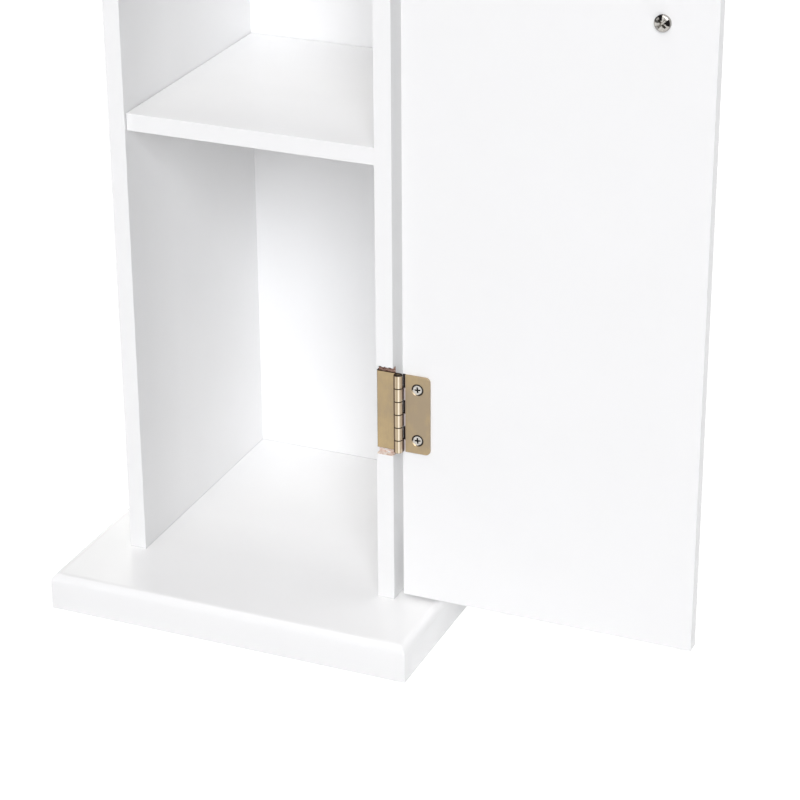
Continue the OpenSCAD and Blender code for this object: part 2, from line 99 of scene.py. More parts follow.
# In the finishes, a pattern is noise: waves to a metre, detail and roughness. Stops are places on a pattern
# with their linear colours. A rough of four numbers is a pattern's range and the roughness spread over it.
# A relief is a bump's distance and strength, and a stretch squeezes a pattern along X, Y and Z.

# Paint: the real one looks the same white all over. Here it is lighter deep in the cabinet, where the lamps
# give less light than in the photograph, and greyer at the base board's foot, where the floor gives more
PAINT_PEEL = (420, 2, 0.4)
PAINT_CLOUD = (22, 3, 0.5)
PAINT_ROUGH = (0.3, 0.7, 0.2, 0.25)
PAINT_RELIEF = (0.03 * MM, 0.35)
PAINT_FRONT = [(0.3, (0.905, 0.905, 0.904, 1)), (0.7, (0.912, 0.912, 0.912, 1))]
PAINT_DEEP_LIGHT = [(0.3, (0.955, 0.955, 0.955, 1)), (0.7, (0.965, 0.965, 0.965, 1))]
FRONT_TO_DEEP = (-40 * MM, -5 * MM)
# The foot's painted shade: its colour at the floor, the height at which it ends, and the depths over which
# it fades
PAINT_FOOT_SHADE = (0.846, 0.846, 0.845, 1)
FOOT_HEIGHT = 18 * MM
FOOT_DEPTH = (-92 * MM, -86 * MM)
# The thin painted shade in the joint where an upright board meets the base or top board: its colour, and
# its edges from that board's face
SEAM_SHADE = (0.8, 0.8, 0.8, 1)
SEAM_EDGES = (0.02 * MM, 0.5 * MM)

# Bare fibreboard where a cutter went through the paint, as light or dark as in the photograph: below the
# leaf, above it, and nearly black at the mortise's upper lip and in the pockets; each cover is the part of
# the overspray's pattern under which paint still hides the board
# The lighter board below the leaf and the darker board above it are painted light and painted shade, and
# the black in the pockets is painted shade
BOARD_FIBRES = (700, 8, 0.75)
BOARD_STRETCH = (1, 1, 2.5)
BOARD_FUZZ = (2600, 4, 0.7)
BOARD_ROUGH = 0.9
LIT_BOARD = [(0.34, (0.55, 0.36, 0.28, 1)), (0.46, (0.77, 0.6, 0.51, 1)), (0.58, (0.92, 0.85, 0.8, 1))]
SHADED_BOARD = [(0.36, (0.13, 0.055, 0.035, 1)), (0.5, (0.36, 0.2, 0.15, 1)), (0.64, (0.62, 0.45, 0.37, 1))]
BLACK_BOARD = [(0.4, (0.004, 0.002, 0.002, 1)), (0.65, (0.025, 0.01, 0.008, 1))]
OVERSPRAY = (330, 4, 0.6)
OVERSPRAY_EDGE = 0.06
LIT_COVER = 0.33
SHADED_COVER = 0.3
LIP_COVER = 0.4
POCKET_COVER = 0.1

# Bare places reach this far past the cut; the black lip starts this far in from the panel's side, and
# rises this far above the mortise
SPARE = 0.05 * MM
LIP_INSET = 1.5 * MM
LIP_RISE = 0.4 * MM
# The pockets behind the knuckles look shallow in the photograph, so they show a share of their cut depth;
# they reach this far into the door, and over this share of the door leaf's width
POCKET_DEPTH = 1.0 * MM
POCKET_SHARE = 0.2
POCKET_REACH = 3 * MM
POCKET_WIDTH = 0.3

# Brass: its patina runs from gold through tan to grey, in shares of cloud, mottle, lines and speckle; it is
# greyer from the first distance to a leaf's middle, and most so from the second one
BRASS_CLOUD = (38, 2, 0.4)
BRASS_MOTTLE = (190, 3, 0.6)
MOTTLE_STRETCH = (1, 1, 0.6)
BRASS_LINES = (420, 3, 0.6)
LINES_STRETCH = (9, 9, 0.35)
BRASS_SPECKLE = (2200, 3, 0.6)
BRASS_SHARES = (0.5, 0.28, 0.12, 0.1)
BRASS_MIDDLE = (17 * MM, 3 * MM)
MIDDLE_GREYER = 0.12
BRASS = [(0.42, (0.48, 0.363, 0.205, 1)), (0.52, (0.425, 0.325, 0.195, 1)), (0.62, (0.365, 0.29, 0.2, 1))]
BRASS_ROUGH = (0.35, 0.65, 0.3, 0.42)
BRASS_RELIEF = (0.02 * MM, 0.3)
# Painted shade on the marked rims: between the knuckles, on the pins' ends, in the countersinks and along
# the frame leaf's outline
BRASS_RIM_SHADE = (0.06, 0.04, 0.025, 1)
# The strip of a leaf beside its knuckles: its edges in radii of the knuckles, and its depth round the front
GROOVE_SPAN = (0.9, 1.5)
GROOVE_FRONT = (-0.3 * MM, 0.2 * MM)
# Across the strip: painted shade by the knuckle, then a painted reflection, then patina
GROOVE_SHADE_AND_REFLECTION = [
    (0.0, (0.03, 0.015, 0.015, 1)), (0.12, (0.1, 0.07, 0.065, 1)), (0.3, (0.72, 0.66, 0.66, 1)),
    (0.7, (0.74, 0.68, 0.68, 1)), (1.0, (0.42, 0.34, 0.27, 1)),
]
# Across a knuckle, from its left flank to its right one: painted reflections, dark and bright bands that
# are colours of the metal here
BARREL_REFLECTIONS = [
    (0.0, (0.03, 0.015, 0.01, 1)), (0.12, (0.22, 0.15, 0.09, 1)), (0.24, (0.62, 0.52, 0.38, 1)),
    (0.36, (0.36, 0.27, 0.16, 1)), (0.47, (0.62, 0.52, 0.38, 1)), (0.55, (0.98, 0.9, 0.74, 1)),
    (0.64, (0.58, 0.47, 0.34, 1)), (0.75, (0.4, 0.31, 0.21, 1)), (0.86, (0.78, 0.69, 0.56, 1)),
    (0.94, (0.3, 0.2, 0.14, 1)), (1.0, (0.03, 0.01, 0.01, 1)),
]
# Where the painted reflections on the knuckles face, and the size of the box that holds them
BARREL_FRONT = math.radians(23)
BARREL_ROOM = 1.05
BARREL_BEHIND = 0.1 * MM

# Steel: zinc plate with dull patches, and near black as painted shade in the screws' recesses and as
# painted shade and reflections in the marks on their heads
STEEL_CLOUD = (900, 4, 0.6)
STEEL = [(0.35, (0.47, 0.45, 0.42, 1)), (0.6, (0.62, 0.6, 0.56, 1))]
STEEL_ROUGH = (0.3, 0.7, 0.22, 0.27)
STEEL_RELIEF = (0.01 * MM, 0.2)
STEEL_SHADE_AND_REFLECTION = (0.012, 0.011, 0.011, 1)

# Finishes with one or two patterns: stretch, the pattern and stops of the colour, the pattern of the grain,
# roughness and relief
PLAIN_FINISHES = {
    "white_plastic": (
        (1, 1, 1), (60, 2, 0.5), [(0.3, (0.78, 0.78, 0.77, 1)), (0.7, (0.82, 0.82, 0.81, 1))],
        (3000, 2, 0.5), 0.42, (0.02 * MM, 0.3)),
    "ferrite": (
        (1, 1, 1), (1800, 5, 0.7), [(0.3, (0.012, 0.012, 0.013, 1)), (0.7, (0.035, 0.035, 0.038, 1))],
        (1800, 5, 0.7), 0.6, (0.03 * MM, 0.5)),
    "beech": (
        (4, 4, 0.5), (500, 5, 0.6), [(0.35, (0.42, 0.24, 0.12, 1)), (0.6, (0.62, 0.42, 0.24, 1))],
        (500, 5, 0.6), 0.6, (0.04 * MM, 0.4)),
}

HINGES = ("lower", "upper")

# Faces of a leaf by their normals: ends across the pin, and countersinks, which get painted shade except
# their lower left, left as if in the light
END_FACE = 0.7
COUNTERSINK_FACE = (0.3, 0.8)
LIT_FACE = 0.2
LEAF_THICK = 1 * MM
BARREL_CLEAR = 1.15

# Dark marks on the screw heads, painted shade round a flat head except its lit lower left, and painted
# reflections and shade on the knob screw: first and last angle, inner and outer share of the head's radius,
# and how dark; where two meet, the first counts
HINGE_SCREW_SHADE = [(0, 190, 0.88, 1, 0.92), (280, 360, 0.88, 1, 0.92)]
KNOB_SCREW_SHADE_AND_REFLECTIONS = [
    (66, 92, 0.3, 0.9, 0), (38, 58, 0.1, 0.92, 0), (0, 360, 0, 0.16, 0), (90, 166, 0.84, 1, 1),
    (92, 122, 0.36, 0.84, 1), (122, 150, 0.6, 0.84, 0.5), (150, 174, 0.42, 0.84, 0.85),
    (0, 37, 0.22, 0.92, 1), (342, 360, 0.46, 0.92, 1), (286, 306, 0.3, 0.5, 0.7),
    (200, 238, 0.5, 0.95, 0.5), (58, 66, 0.1, 0.95, 0.4), (0, 360, 0.9, 1, 0.35), (0, 360, 0, 1, 0.15),
]
# The cross in a screw's head: span, slot and depth as shares of the head's radius, turn, and how dark its
# painted shade is; in a pan head the depth is a share of the head's height
FLAT_HEAD_CROSS = (0.56, 0.14, 0.55, 0.1, 0.95)
PAN_HEAD_CROSS = (0.62, 0.13, 0.8, math.pi / 4, 0.2)
# The driver's point in rings from its top down: length of its arms, their width and its height, as shares
CROSS_RINGS = ((1.15, 1.15, 0.5), (1.0, 1.0, -0.15), (0.5, 0.6, -1))
CROSS_REACH = 1.2
CROSS_UNDER = 0.1 * MM
SCREW_STEPS = 48
KNOB_STEPS = 96


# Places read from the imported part

def islands(node):
    """Lowest and highest corner of each separate solid in a CAD node, in a fixed order."""
    bm = bmesh.new()
    bm.from_mesh(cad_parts[node].data)
    bmesh.ops.remove_doubles(bm, verts=bm.verts, dist=MERGE_MEASURED)
    left = set(bm.verts)
    boxes = []
    while left:
        edge = [left.pop()]
        group = list(edge)
        while edge:
            vert = edge.pop()
            for link in vert.link_edges:
                other = link.other_vert(vert)
                if other in left:
                    left.discard(other)
                    edge.append(other)
                    group.append(other)
        lo = Vector(min(v.co[i] for v in group) for i in range(3))
        hi = Vector(max(v.co[i] for v in group) for i in range(3))
        boxes.append((lo, hi))
    bm.free()
    return sorted(boxes, key=lambda b: tuple(round(c, 5) for c in b[0]))


def pin_axis():
    """A point on the common axis of the hinge pins."""
    lo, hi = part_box("lower_hinge_pin")
    return (lo + hi) / 2


def leaf_front():
    """Height in Y of the hinge leaves' flat front, read from the lower door leaf's own corners."""
    lo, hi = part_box("lower_hinge_door_leaf")
    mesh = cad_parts["lower_hinge_door_leaf"].data
    return min(v.co.y for v in mesh.vertices if v.co.x > (lo.x + hi.x) / 2)


def mortise_ends(floor_y, leaf_low, leaf_high):
    """Heights of the lower and upper end of the mortise round a leaf, read from the panel's own corners."""
    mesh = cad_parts["right_side_panel"].data
    heights = sorted({round(v.co.z, 6) for v in mesh.vertices if abs(v.co.y - floor_y) < 0.01 * MM})
    low = max(z for z in heights if z < leaf_low)
    high = min(z for z in heights if z > leaf_high)
    return low, high


# Mesh helpers

def new_piece(name, data):
    """An object of that mesh, lamp or camera in the scene."""
    piece = bpy.data.objects.new(name, data)
    bpy.context.scene.collection.objects.link(piece)
    return piece


def mesh_from(name, bm):
    """A mesh made of a BMesh, which is freed."""
    mesh = bpy.data.meshes.new(name)
    bm.to_mesh(mesh)
    bm.free()
    return mesh


def baked(piece):
    """The piece with its modifiers turned into plain mesh, under the same name."""
    graph = bpy.context.evaluated_depsgraph_get()
    mesh = bpy.data.meshes.new_from_object(piece.evaluated_get(graph), depsgraph=graph)
    piece.modifiers.clear()
    old = piece.data
    piece.data = mesh
    bpy.data.meshes.remove(old)
    mesh.name = piece.name
    return piece


def merged_mesh(node, name):
    """A copy of a CAD node's mesh, with its vertices merged and its flat faces joined."""
    bm = bmesh.new()
    bm.from_mesh(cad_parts[node].data)
    bmesh.ops.remove_doubles(bm, verts=bm.verts, dist=MERGE_COPIED)
    bmesh.ops.dissolve_limit(bm, angle_limit=FLAT, verts=bm.verts, edges=bm.edges)
    for face in bm.faces:
        face.smooth = True
    return mesh_from(name, bm)


def softened(node, name, width, segments=3):
    """A copy of a CAD node whose sharp edges are rounded off, with those roundings marked as its rim."""
    piece = new_piece(name, merged_mesh(node, name))
    for slot in range(2):
        piece.data.materials.append(None)
    bevel = piece.modifiers.new("soft edges", "BEVEL")
    bevel.material = 1
    bevel.width = width
    bevel.segments = segments
    bevel.limit_method = "ANGLE"
    bevel.angle_limit = BOARD_EDGE
    bevel.use_clamp_overlap = True
    normals = piece.modifiers.new("flat faces stay flat", "WEIGHTED_NORMAL")
    normals.mode = "FACE_AREA"
    normals.weight = 100
    baked(piece)
    faces = piece.data.polygons
    mark_faces(piece.data, "rim", [float(face.material_index == 1) for face in faces])
    faces.foreach_set("material_index", [0] * len(faces))
    return piece


def mark_faces(mesh, name, values):
    """Writes one number for each face, which a material can read by that name."""
    if name not in mesh.attributes:
        mesh.attributes.new(name, "FLOAT", "FACE")
    mesh.attributes[name].data.foreach_set("value", values)


def dress(piece, material, body, node):
    """Gives a piece its finish and its body, and hides the CAD node that it stands for."""
    piece.data.materials.clear()
    piece.data.materials.append(material)
    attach(piece, body)
    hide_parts(node)


# Node helpers for materials

def new_material(name):
    """A material with only a Principled shader, and short names for its tree."""
    material = bpy.data.materials.new(name)
    material.use_nodes = True
    nodes = material.node_tree.nodes
    return material, nodes, material.node_tree.links, nodes["Principled BSDF"]


def fill_shader(links, shader, colour, rough, normal, metallic=0.0):
    """Feeds a Principled shader; its roughness is a socket or a number."""
    links.new(colour, shader.inputs["Base Color"])
    feed(links, shader.inputs["Roughness"], rough)
    links.new(normal, shader.inputs["Normal"])
    shader.inputs["Metallic"].default_value = metallic


def feed(links, socket, value):
    """Links a socket to that value, or sets it where the value is a number or a colour."""
    if isinstance(value, (int, float, tuple)):
        socket.default_value = value
    else:
        links.new(value, socket)


def object_coords(nodes, links, stretch=(1, 1, 1)):
    """Object coordinates through a Mapping node that stretches the pattern."""
    coords = nodes.new("ShaderNodeTexCoord")
    mapping = nodes.new("ShaderNodeMapping")
    mapping.inputs["Scale"].default_value = stretch
    links.new(coords.outputs["Object"], mapping.inputs["Vector"])
    return mapping.outputs["Vector"]


def axes_of(nodes, links, vector):
    """The X, Y and Z of a vector, as sockets."""
    split = nodes.new("ShaderNodeSeparateXYZ")
    links.new(vector, split.inputs["Vector"])
    return split.outputs


def noise(nodes, links, vector, scale, detail, roughness):
    """Noise of that many waves to a metre."""
    texture = nodes.new("ShaderNodeTexNoise")
    texture.inputs["Scale"].default_value = scale
    texture.inputs["Detail"].default_value = detail
    texture.inputs["Roughness"].default_value = roughness
    links.new(vector, texture.inputs["Vector"])
    return texture.outputs["Fac"]


def ramp(nodes, links, value, stops):
    """A colour ramp through (place, colour) stops."""
    node = nodes.new("ShaderNodeValToRGB")
    for i, (place, colour) in enumerate(stops):
        stop = node.color_ramp.elements[i] if i < 2 else node.color_ramp.elements.new(place)
        stop.position = place
        stop.color = colour
    links.new(value, node.inputs["Fac"])
    return node.outputs["Color"]


def levels(nodes, links, value, low, high, out_low, out_high):
    """A value's range from low to high, spread over out_low to out_high."""
    node = nodes.new("ShaderNodeMapRange")
    node.inputs["From Min"].default_value = low
    node.inputs["From Max"].default_value = high
    node.inputs["To Min"].default_value = out_low
    node.inputs["To Max"].default_value = out_high
    links.new(value, node.inputs["Value"])
    return node.outputs["Result"]


def bump(nodes, links, height, distance, strength):
    """A bump from a height between 0 and 1, over a distance in metres."""
    node = nodes.new("ShaderNodeBump")
    node.inputs["Distance"].default_value = distance
    node.inputs["Strength"].default_value = strength
    links.new(height, node.inputs["Height"])
    return node.outputs["Normal"]


def math_node(nodes, links, operation, a, b):
    """One Math node whose inputs are sockets or numbers."""
    node = nodes.new("ShaderNodeMath")
    node.operation = operation
    feed(links, node.inputs[0], a)
    feed(links, node.inputs[1], b)
    return node.outputs[0]


def folded(nodes, links, operation, values):
    """One Math operation over a list of values, from the first to the last."""
    result = values[0]
    for value in values[1:]:
        result = math_node(nodes, links, operation, result, value)
    return result


def marked(nodes, name):
    """The number that a mesh's faces carry under that name, and 0 where they carry none."""
    node = nodes.new("ShaderNodeAttribute")
    node.attribute_name = name
    return node.outputs["Fac"]


def mixed(nodes, links, factor, under, over):
    """One colour over another, by a factor; a colour is a socket or its numbers."""
    node = nodes.new("ShaderNodeMix")
    node.data_type = "RGBA"
    links.new(factor, node.inputs["Factor"])
    colours = [socket for socket in node.inputs if socket.type == "RGBA"]
    feed(links, colours[0], under)
    feed(links, colours[1], over)
    return next(socket for socket in node.outputs if socket.type == "RGBA")


def inside_box(nodes, links, lo, hi):
    """1 inside a box given by two corners in the part's frame, and 0 outside it."""
    axes = axes_of(nodes, links, nodes.new("ShaderNodeTexCoord").outputs["Object"])
    spans = []
    for axis in range(3):
        above = math_node(nodes, links, "GREATER_THAN", axes[axis], lo[axis])
        below = math_node(nodes, links, "LESS_THAN", axes[axis], hi[axis])
        spans.append(math_node(nodes, links, "MULTIPLY", above, below))
    return folded(nodes, links, "MULTIPLY", spans)


def by_ray(nodes, links, kinds, others, those, output):
    """Sends one shader to the output for rays of those kinds, and another for all other rays."""
    path = nodes.new("ShaderNodeLightPath")
    mix = nodes.new("ShaderNodeMixShader")
    share = folded(nodes, links, "MAXIMUM", [path.outputs[f"Is {kind} Ray"] for kind in kinds])
    links.new(share, mix.inputs["Fac"])
    links.new(others, mix.inputs[1])
    links.new(those, mix.inputs[2])
    links.new(mix.outputs["Shader"], output)


# Finishes

def paint_colour(nodes, links, coords, cloud):
    """White of the paint at the front, with painted light deeper in, and painted shade at the base board's
    foot and in the seams.
    """
    place = axes_of(nodes, links, coords)
    # Painted light deeper in the cabinet
    deep = levels(nodes, links, place["Y"], *FRONT_TO_DEEP, 0, 1)
    front_paint = ramp(nodes, links, cloud, PAINT_FRONT)
    colour = mixed(nodes, links, deep, front_paint, ramp(nodes, links, cloud, PAINT_DEEP_LIGHT))
    # Painted shade towards the base board's foot
    low = levels(nodes, links, place["Z"], 0, FOOT_HEIGHT, 1, 0)
    near = levels(nodes, links, place["Y"], *FOOT_DEPTH, 1, 0)
    colour = mixed(nodes, links, math_node(nodes, links, "MULTIPLY", low, near), colour, PAINT_FOOT_SHADE)
    floor_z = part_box("base_board")[1].z
    ceiling_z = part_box("top_board")[0].z
    thin, wide = SEAM_EDGES
    # Painted shade in the joints at the base and top boards
    for lo_z, hi_z in ((floor_z + thin, floor_z + wide), (ceiling_z - wide, ceiling_z - thin)):
        seam_shade = inside_box(nodes, links, (-1, -1, lo_z), (1, 1, hi_z))
        colour = mixed(nodes, links, seam_shade, colour, SEAM_SHADE)
    return colour


def white_paint(name, *bare):
    """Sprayed white paint with a faint orange peel; each bare is boxes, the board's colours and a cover."""
    material, nodes, links, shader = new_material(name)
    coords = object_coords(nodes, links)
    height = noise(nodes, links, coords, *PAINT_PEEL)
    cloud = noise(nodes, links, coords, *PAINT_CLOUD)
    rough = levels(nodes, links, cloud, *PAINT_ROUGH)
    colour = paint_colour(nodes, links, coords, cloud)
    for boxes, stops, cover in bare:
        mask = folded(nodes, links, "MAXIMUM", [inside_box(nodes, links, lo, hi) for lo, hi in boxes])
        overspray = noise(nodes, links, coords, *OVERSPRAY)
        open_part = levels(nodes, links, overspray, cover, cover + OVERSPRAY_EDGE, 0, 1)
        mask = math_node(nodes, links, "MULTIPLY", mask, open_part)
        fibres = noise(nodes, links, object_coords(nodes, links, BOARD_STRETCH), *BOARD_FIBRES)
        colour = mixed(nodes, links, mask, colour, ramp(nodes, links, fibres, stops))
        board_rough = math_node(nodes, links, "MULTIPLY", mask, BOARD_ROUGH)
        rough = math_node(nodes, links, "MAXIMUM", rough, board_rough)
        fuzz = math_node(nodes, links, "MULTIPLY", mask, noise(nodes, links, coords, *BOARD_FUZZ))
        height = math_node(nodes, links, "ADD", height, fuzz)
    fill_shader(links, shader, colour, rough, bump(nodes, links, height, *PAINT_RELIEF))
    return material


def brass_patina(nodes, links, coords, lines):
    """Clouds, mottle, drawn lines and speckle in one pattern, greyer round the middle of each leaf."""
    height = axes_of(nodes, links, coords)["Z"]
    distances = []
    for hinge in HINGES:
        lo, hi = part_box(hinge + "_hinge_door_leaf")
        away = math_node(nodes, links, "SUBTRACT", height, (lo.z + hi.z) / 2)
        distances.append(math_node(nodes, links, "ABSOLUTE", away, 0))
    nearest = folded(nodes, links, "MINIMUM", distances)
    cloud = noise(nodes, links, coords, *BRASS_CLOUD)
    mottle = noise(nodes, links, object_coords(nodes, links, MOTTLE_STRETCH), *BRASS_MOTTLE)
    speckle = noise(nodes, links, coords, *BRASS_SPECKLE)
    parts = [math_node(nodes, links, "MULTIPLY", pattern, share)
             for pattern, share in zip((cloud, mottle, lines, speckle), BRASS_SHARES)]
    parts.append(levels(nodes, links, nearest, *BRASS_MIDDLE, 0, MIDDLE_GREYER))
    return folded(nodes, links, "ADD", parts)


def with_groove_shade_and_reflection(nodes, links, coords, colour):
    """That colour, with the strip of a leaf beside its knuckles over it: painted shade, then a painted
    reflection, then patina.
    """
    axis, front = pin_axis(), leaf_front()
    radius = axis.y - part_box("lower_hinge_door_leaf")[0].y
    left, right = (axis.x + radius * share for share in GROOVE_SPAN)
    near, far = (front + step for step in GROOVE_FRONT)
    across = levels(nodes, links, axes_of(nodes, links, coords)["X"], left, right, 0, 1)
    groove = inside_box(nodes, links, (left, near, 0), (right, far, 1))
    return mixed(nodes, links, groove, colour, ramp(nodes, links, across, GROOVE_SHADE_AND_REFLECTION))


def with_barrel_reflections(nodes, links, coords, colour):
    """That colour, with painted reflections on the knuckles over it, from one flank to the other."""
    axis, front = pin_axis(), leaf_front()
    radius = axis.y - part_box("lower_hinge_door_leaf")[0].y
    offset = nodes.new("ShaderNodeVectorMath")
    offset.operation = "SUBTRACT"
    offset.inputs[1].default_value = axis
    links.new(coords, offset.inputs[0])
    side = nodes.new("ShaderNodeVectorMath")
    side.operation = "DOT_PRODUCT"
    side.inputs[1].default_value = (math.cos(BARREL_FRONT), math.sin(BARREL_FRONT), 0)
    links.new(offset.outputs["Vector"], side.inputs[0])
    turned = levels(nodes, links, side.outputs["Value"], -radius, radius, 0, 1)
    room = radius * BARREL_ROOM
    back = front - BARREL_BEHIND
    barrel = inside_box(nodes, links, (axis.x - room, axis.y - room, 0), (axis.x + room, back, 1))
    # Painted reflections on the knuckles
    return mixed(nodes, links, barrel, colour, ramp(nodes, links, turned, BARREL_REFLECTIONS))


def antique_brass():
    """Brassed steel sheet: grey-gold patina in clouds, painted shade on its rims, and painted reflections
    along the knuckles.
    """
    material, nodes, links, shader = new_material("antique_brass")
    coords = object_coords(nodes, links)
    lines = noise(nodes, links, object_coords(nodes, links, LINES_STRETCH), *BRASS_LINES)
    patina = brass_patina(nodes, links, coords, lines)
    colour = with_groove_shade_and_reflection(nodes, links, coords, ramp(nodes, links, patina, BRASS))
    colour = with_barrel_reflections(nodes, links, coords, colour)
    # Painted shade on the rims
    colour = mixed(nodes, links, marked(nodes, "rim"), colour, BRASS_RIM_SHADE)
    rough = levels(nodes, links, patina, *BRASS_ROUGH)
    fill_shader(links, shader, colour, rough, bump(nodes, links, lines, *BRASS_RELIEF), 1.0)
    return material


def bright_steel():
    """Zinc-plated steel with slight dull patches, and near black painted shade and reflections where its
    faces are marked.
    """
    material, nodes, links, shader = new_material("bright_steel")
    cloud = noise(nodes, links, object_coords(nodes, links), *STEEL_CLOUD)
    # Painted shade and reflections where the faces are marked
    colour = mixed(nodes, links, marked(nodes, "recess"), ramp(nodes, links, cloud, STEEL), STEEL_SHADE_AND_REFLECTION)
    rough = levels(nodes, links, cloud, *STEEL_ROUGH)
    fill_shader(links, shader, colour, rough, bump(nodes, links, cloud, *STEEL_RELIEF), 1.0)
    return material


def plain_finish(name):
    """A finish out of the table of plain ones: plastic, ferrite or beech."""
    stretch, pattern, stops, grain, rough, relief = PLAIN_FINISHES[name]
    material, nodes, links, shader = new_material(name)
    coords = object_coords(nodes, links, stretch)
    colour = ramp(nodes, links, noise(nodes, links, coords, *pattern), stops)
    normal = bump(nodes, links, noise(nodes, links, coords, *grain), *relief)
    fill_shader(links, shader, colour, rough, normal)
    return material


# Repeated pieces, set out in rows by Geometry Nodes

def rows_tree():
    """A tree that sets copies of one piece out in rows and columns and gives them a finish."""
    tree = bpy.data.node_groups.new("pieces in rows", "GeometryNodeTree")
    face = tree.interface
    face.new_socket("Geometry", in_out="INPUT", socket_type="NodeSocketGeometry")
    for name, kind in (("Piece", "Object"), ("Columns", "Int"), ("Rows", "Int"), ("First place", "Vector"),
                       ("Column step", "Vector"), ("Row step", "Vector"), ("Turn", "Vector"),
                       ("Finish", "Material")):
        face.new_socket(name, in_out="INPUT", socket_type="NodeSocket" + kind)
    face.new_socket("Geometry", in_out="OUTPUT", socket_type="NodeSocketGeometry")
    kinds = {
        "given": "NodeGroupInput", "columns": "GeometryNodeMeshLine", "rows": "GeometryNodeMeshLine",
        "on columns": "GeometryNodeInstanceOnPoints", "points": "GeometryNodeRealizeInstances",
        "piece": "GeometryNodeObjectInfo", "on points": "GeometryNodeInstanceOnPoints",
        "solid": "GeometryNodeRealizeInstances", "finish": "GeometryNodeSetMaterial",
        "result": "NodeGroupOutput",
    }
    made = {name: tree.nodes.new(kind) for name, kind in kinds.items()}
    for source, output, target, entry in (
            ("given", "Columns", "columns", "Count"), ("given", "First place", "columns", "Start Location"),
            ("given", "Column step", "columns", "Offset"), ("given", "Rows", "rows", "Count"),
            ("given", "Row step", "rows", "Offset"), ("columns", "Mesh", "on columns", "Points"),
            ("rows", "Mesh", "on columns", "Instance"), ("on columns", "Instances", "points", "Geometry"),
            ("points", "Geometry", "on points", "Points"), ("given", "Piece", "piece", "Object"),
            ("piece", "Geometry", "on points", "Instance"), ("given", "Turn", "on points", "Rotation"),
            ("on points", "Instances", "solid", "Geometry"), ("solid", "Geometry", "finish", "Geometry"),
            ("given", "Finish", "finish", "Material"), ("finish", "Geometry", "result", "Geometry")):
        tree.links.new(made[source].outputs[output], made[target].inputs[entry])
    return tree


def in_rows(tree, name, pattern, material, turn, places):
    """Copies of a pattern piece at places that lie in rows and columns, as one plain mesh."""
    lo = Vector([min(p[i] for p in places) for i in range(3)])
    hi = Vector([max(p[i] for p in places) for i in range(3)])
    counts = [len({round(p[i] / MM, 1) for p in places}) for i in range(3)]
    along, across = sorted(range(3), key=lambda i: -counts[i])[:2]
    values = {
        "Piece": pattern, "Columns": counts[along], "Rows": counts[across], "First place": lo,
        "Column step": axis_step(lo, hi, along, counts), "Row step": axis_step(lo, hi, across, counts),
        "Turn": turn, "Finish": material,
    }
    piece = new_piece(name, bpy.data.meshes.new(name))
    modifier = piece.modifiers.new("rows", "NODES")
    modifier.node_group = tree
    for socket in tree.interface.items_tree:
        if socket.in_out == "INPUT" and socket.name in values:
            modifier[socket.identifier] = values[socket.name]
    return baked(piece)


def axis_step(lo, hi, axis, counts):
    """The step along one axis between neighbours of a row."""
    step = Vector((0, 0, 0))
    step[axis] = (hi[axis] - lo[axis]) / max(counts[axis] - 1, 1)
    return step


# Pattern pieces: each has its seat at the origin and its head up

def lathe(profile, steps):
    """A closed turned shape from (radius, height) points that start and end on the axis."""
    bm = bmesh.new()
    turns = [2 * math.pi * i / steps for i in range(steps)]
    rings = []
    for radius, height in profile:
        around = [0] if radius < NOTHING else turns
        rings.append([bm.verts.new((radius * math.cos(a), radius * math.sin(a), height)) for a in around])
    for low, high in zip(rings, rings[1:]):
        for i in range(steps):
            j = (i + 1) % steps
            corners = [low[i % len(low)], low[j % len(low)], high[j % len(high)], high[i % len(high)]]
            bm.faces.new(list(dict.fromkeys(corners)))
    bmesh.ops.recalc_face_normals(bm, faces=bm.faces)
    return bm


def arc(centre, radius, start, end, steps):
    """Points on an arc, angles in degrees."""
    angles = [math.radians(start + (end - start) * i / steps) for i in range(steps + 1)]
    return [(centre[0] + radius * math.cos(a), centre[1] + radius * math.sin(a)) for a in angles]


def crown_points(radius, rise, steps):
    """Points up a dome of that radius and rise, whose top is at height 0."""
    ball = (radius * radius + rise * rise) / (2 * rise)
    shares = [1 - i / steps for i in range(steps)]
    return [(radius * s, math.sqrt(ball * ball - (radius * s) ** 2) - ball) for s in shares] + [(0, 0)]


def cross_cutter(span, slot, depth, twist):
    """The point of a cross-head driver: a tapered cross, turned by the twist."""
    outline = [(1, -1), (1, 1), (0, 1)]
    bm = bmesh.new()
    rings = []
    for arm, wide, height in CROSS_RINGS:
        ring = []
        for turn in range(4):
            for far, side in outline:
                x = span * arm if far else slot * wide
                y = slot * wide * side
                angle = turn * math.pi / 2 + twist
                ring.append(bm.verts.new((x * math.cos(angle) - y * math.sin(angle),
                                          x * math.sin(angle) + y * math.cos(angle), depth * height)))
        rings.append(ring)
    for high, low in zip(rings, rings[1:]):
        for i in range(len(high)):
            j = (i + 1) % len(high)
            bm.faces.new((high[j], high[i], low[i], low[j]))
    bm.faces.new(rings[0])
    bm.faces.new(list(reversed(rings[-1])))
    bmesh.ops.recalc_face_normals(bm, faces=bm.faces)
    return new_piece("driver_point", mesh_from("driver_point", bm))


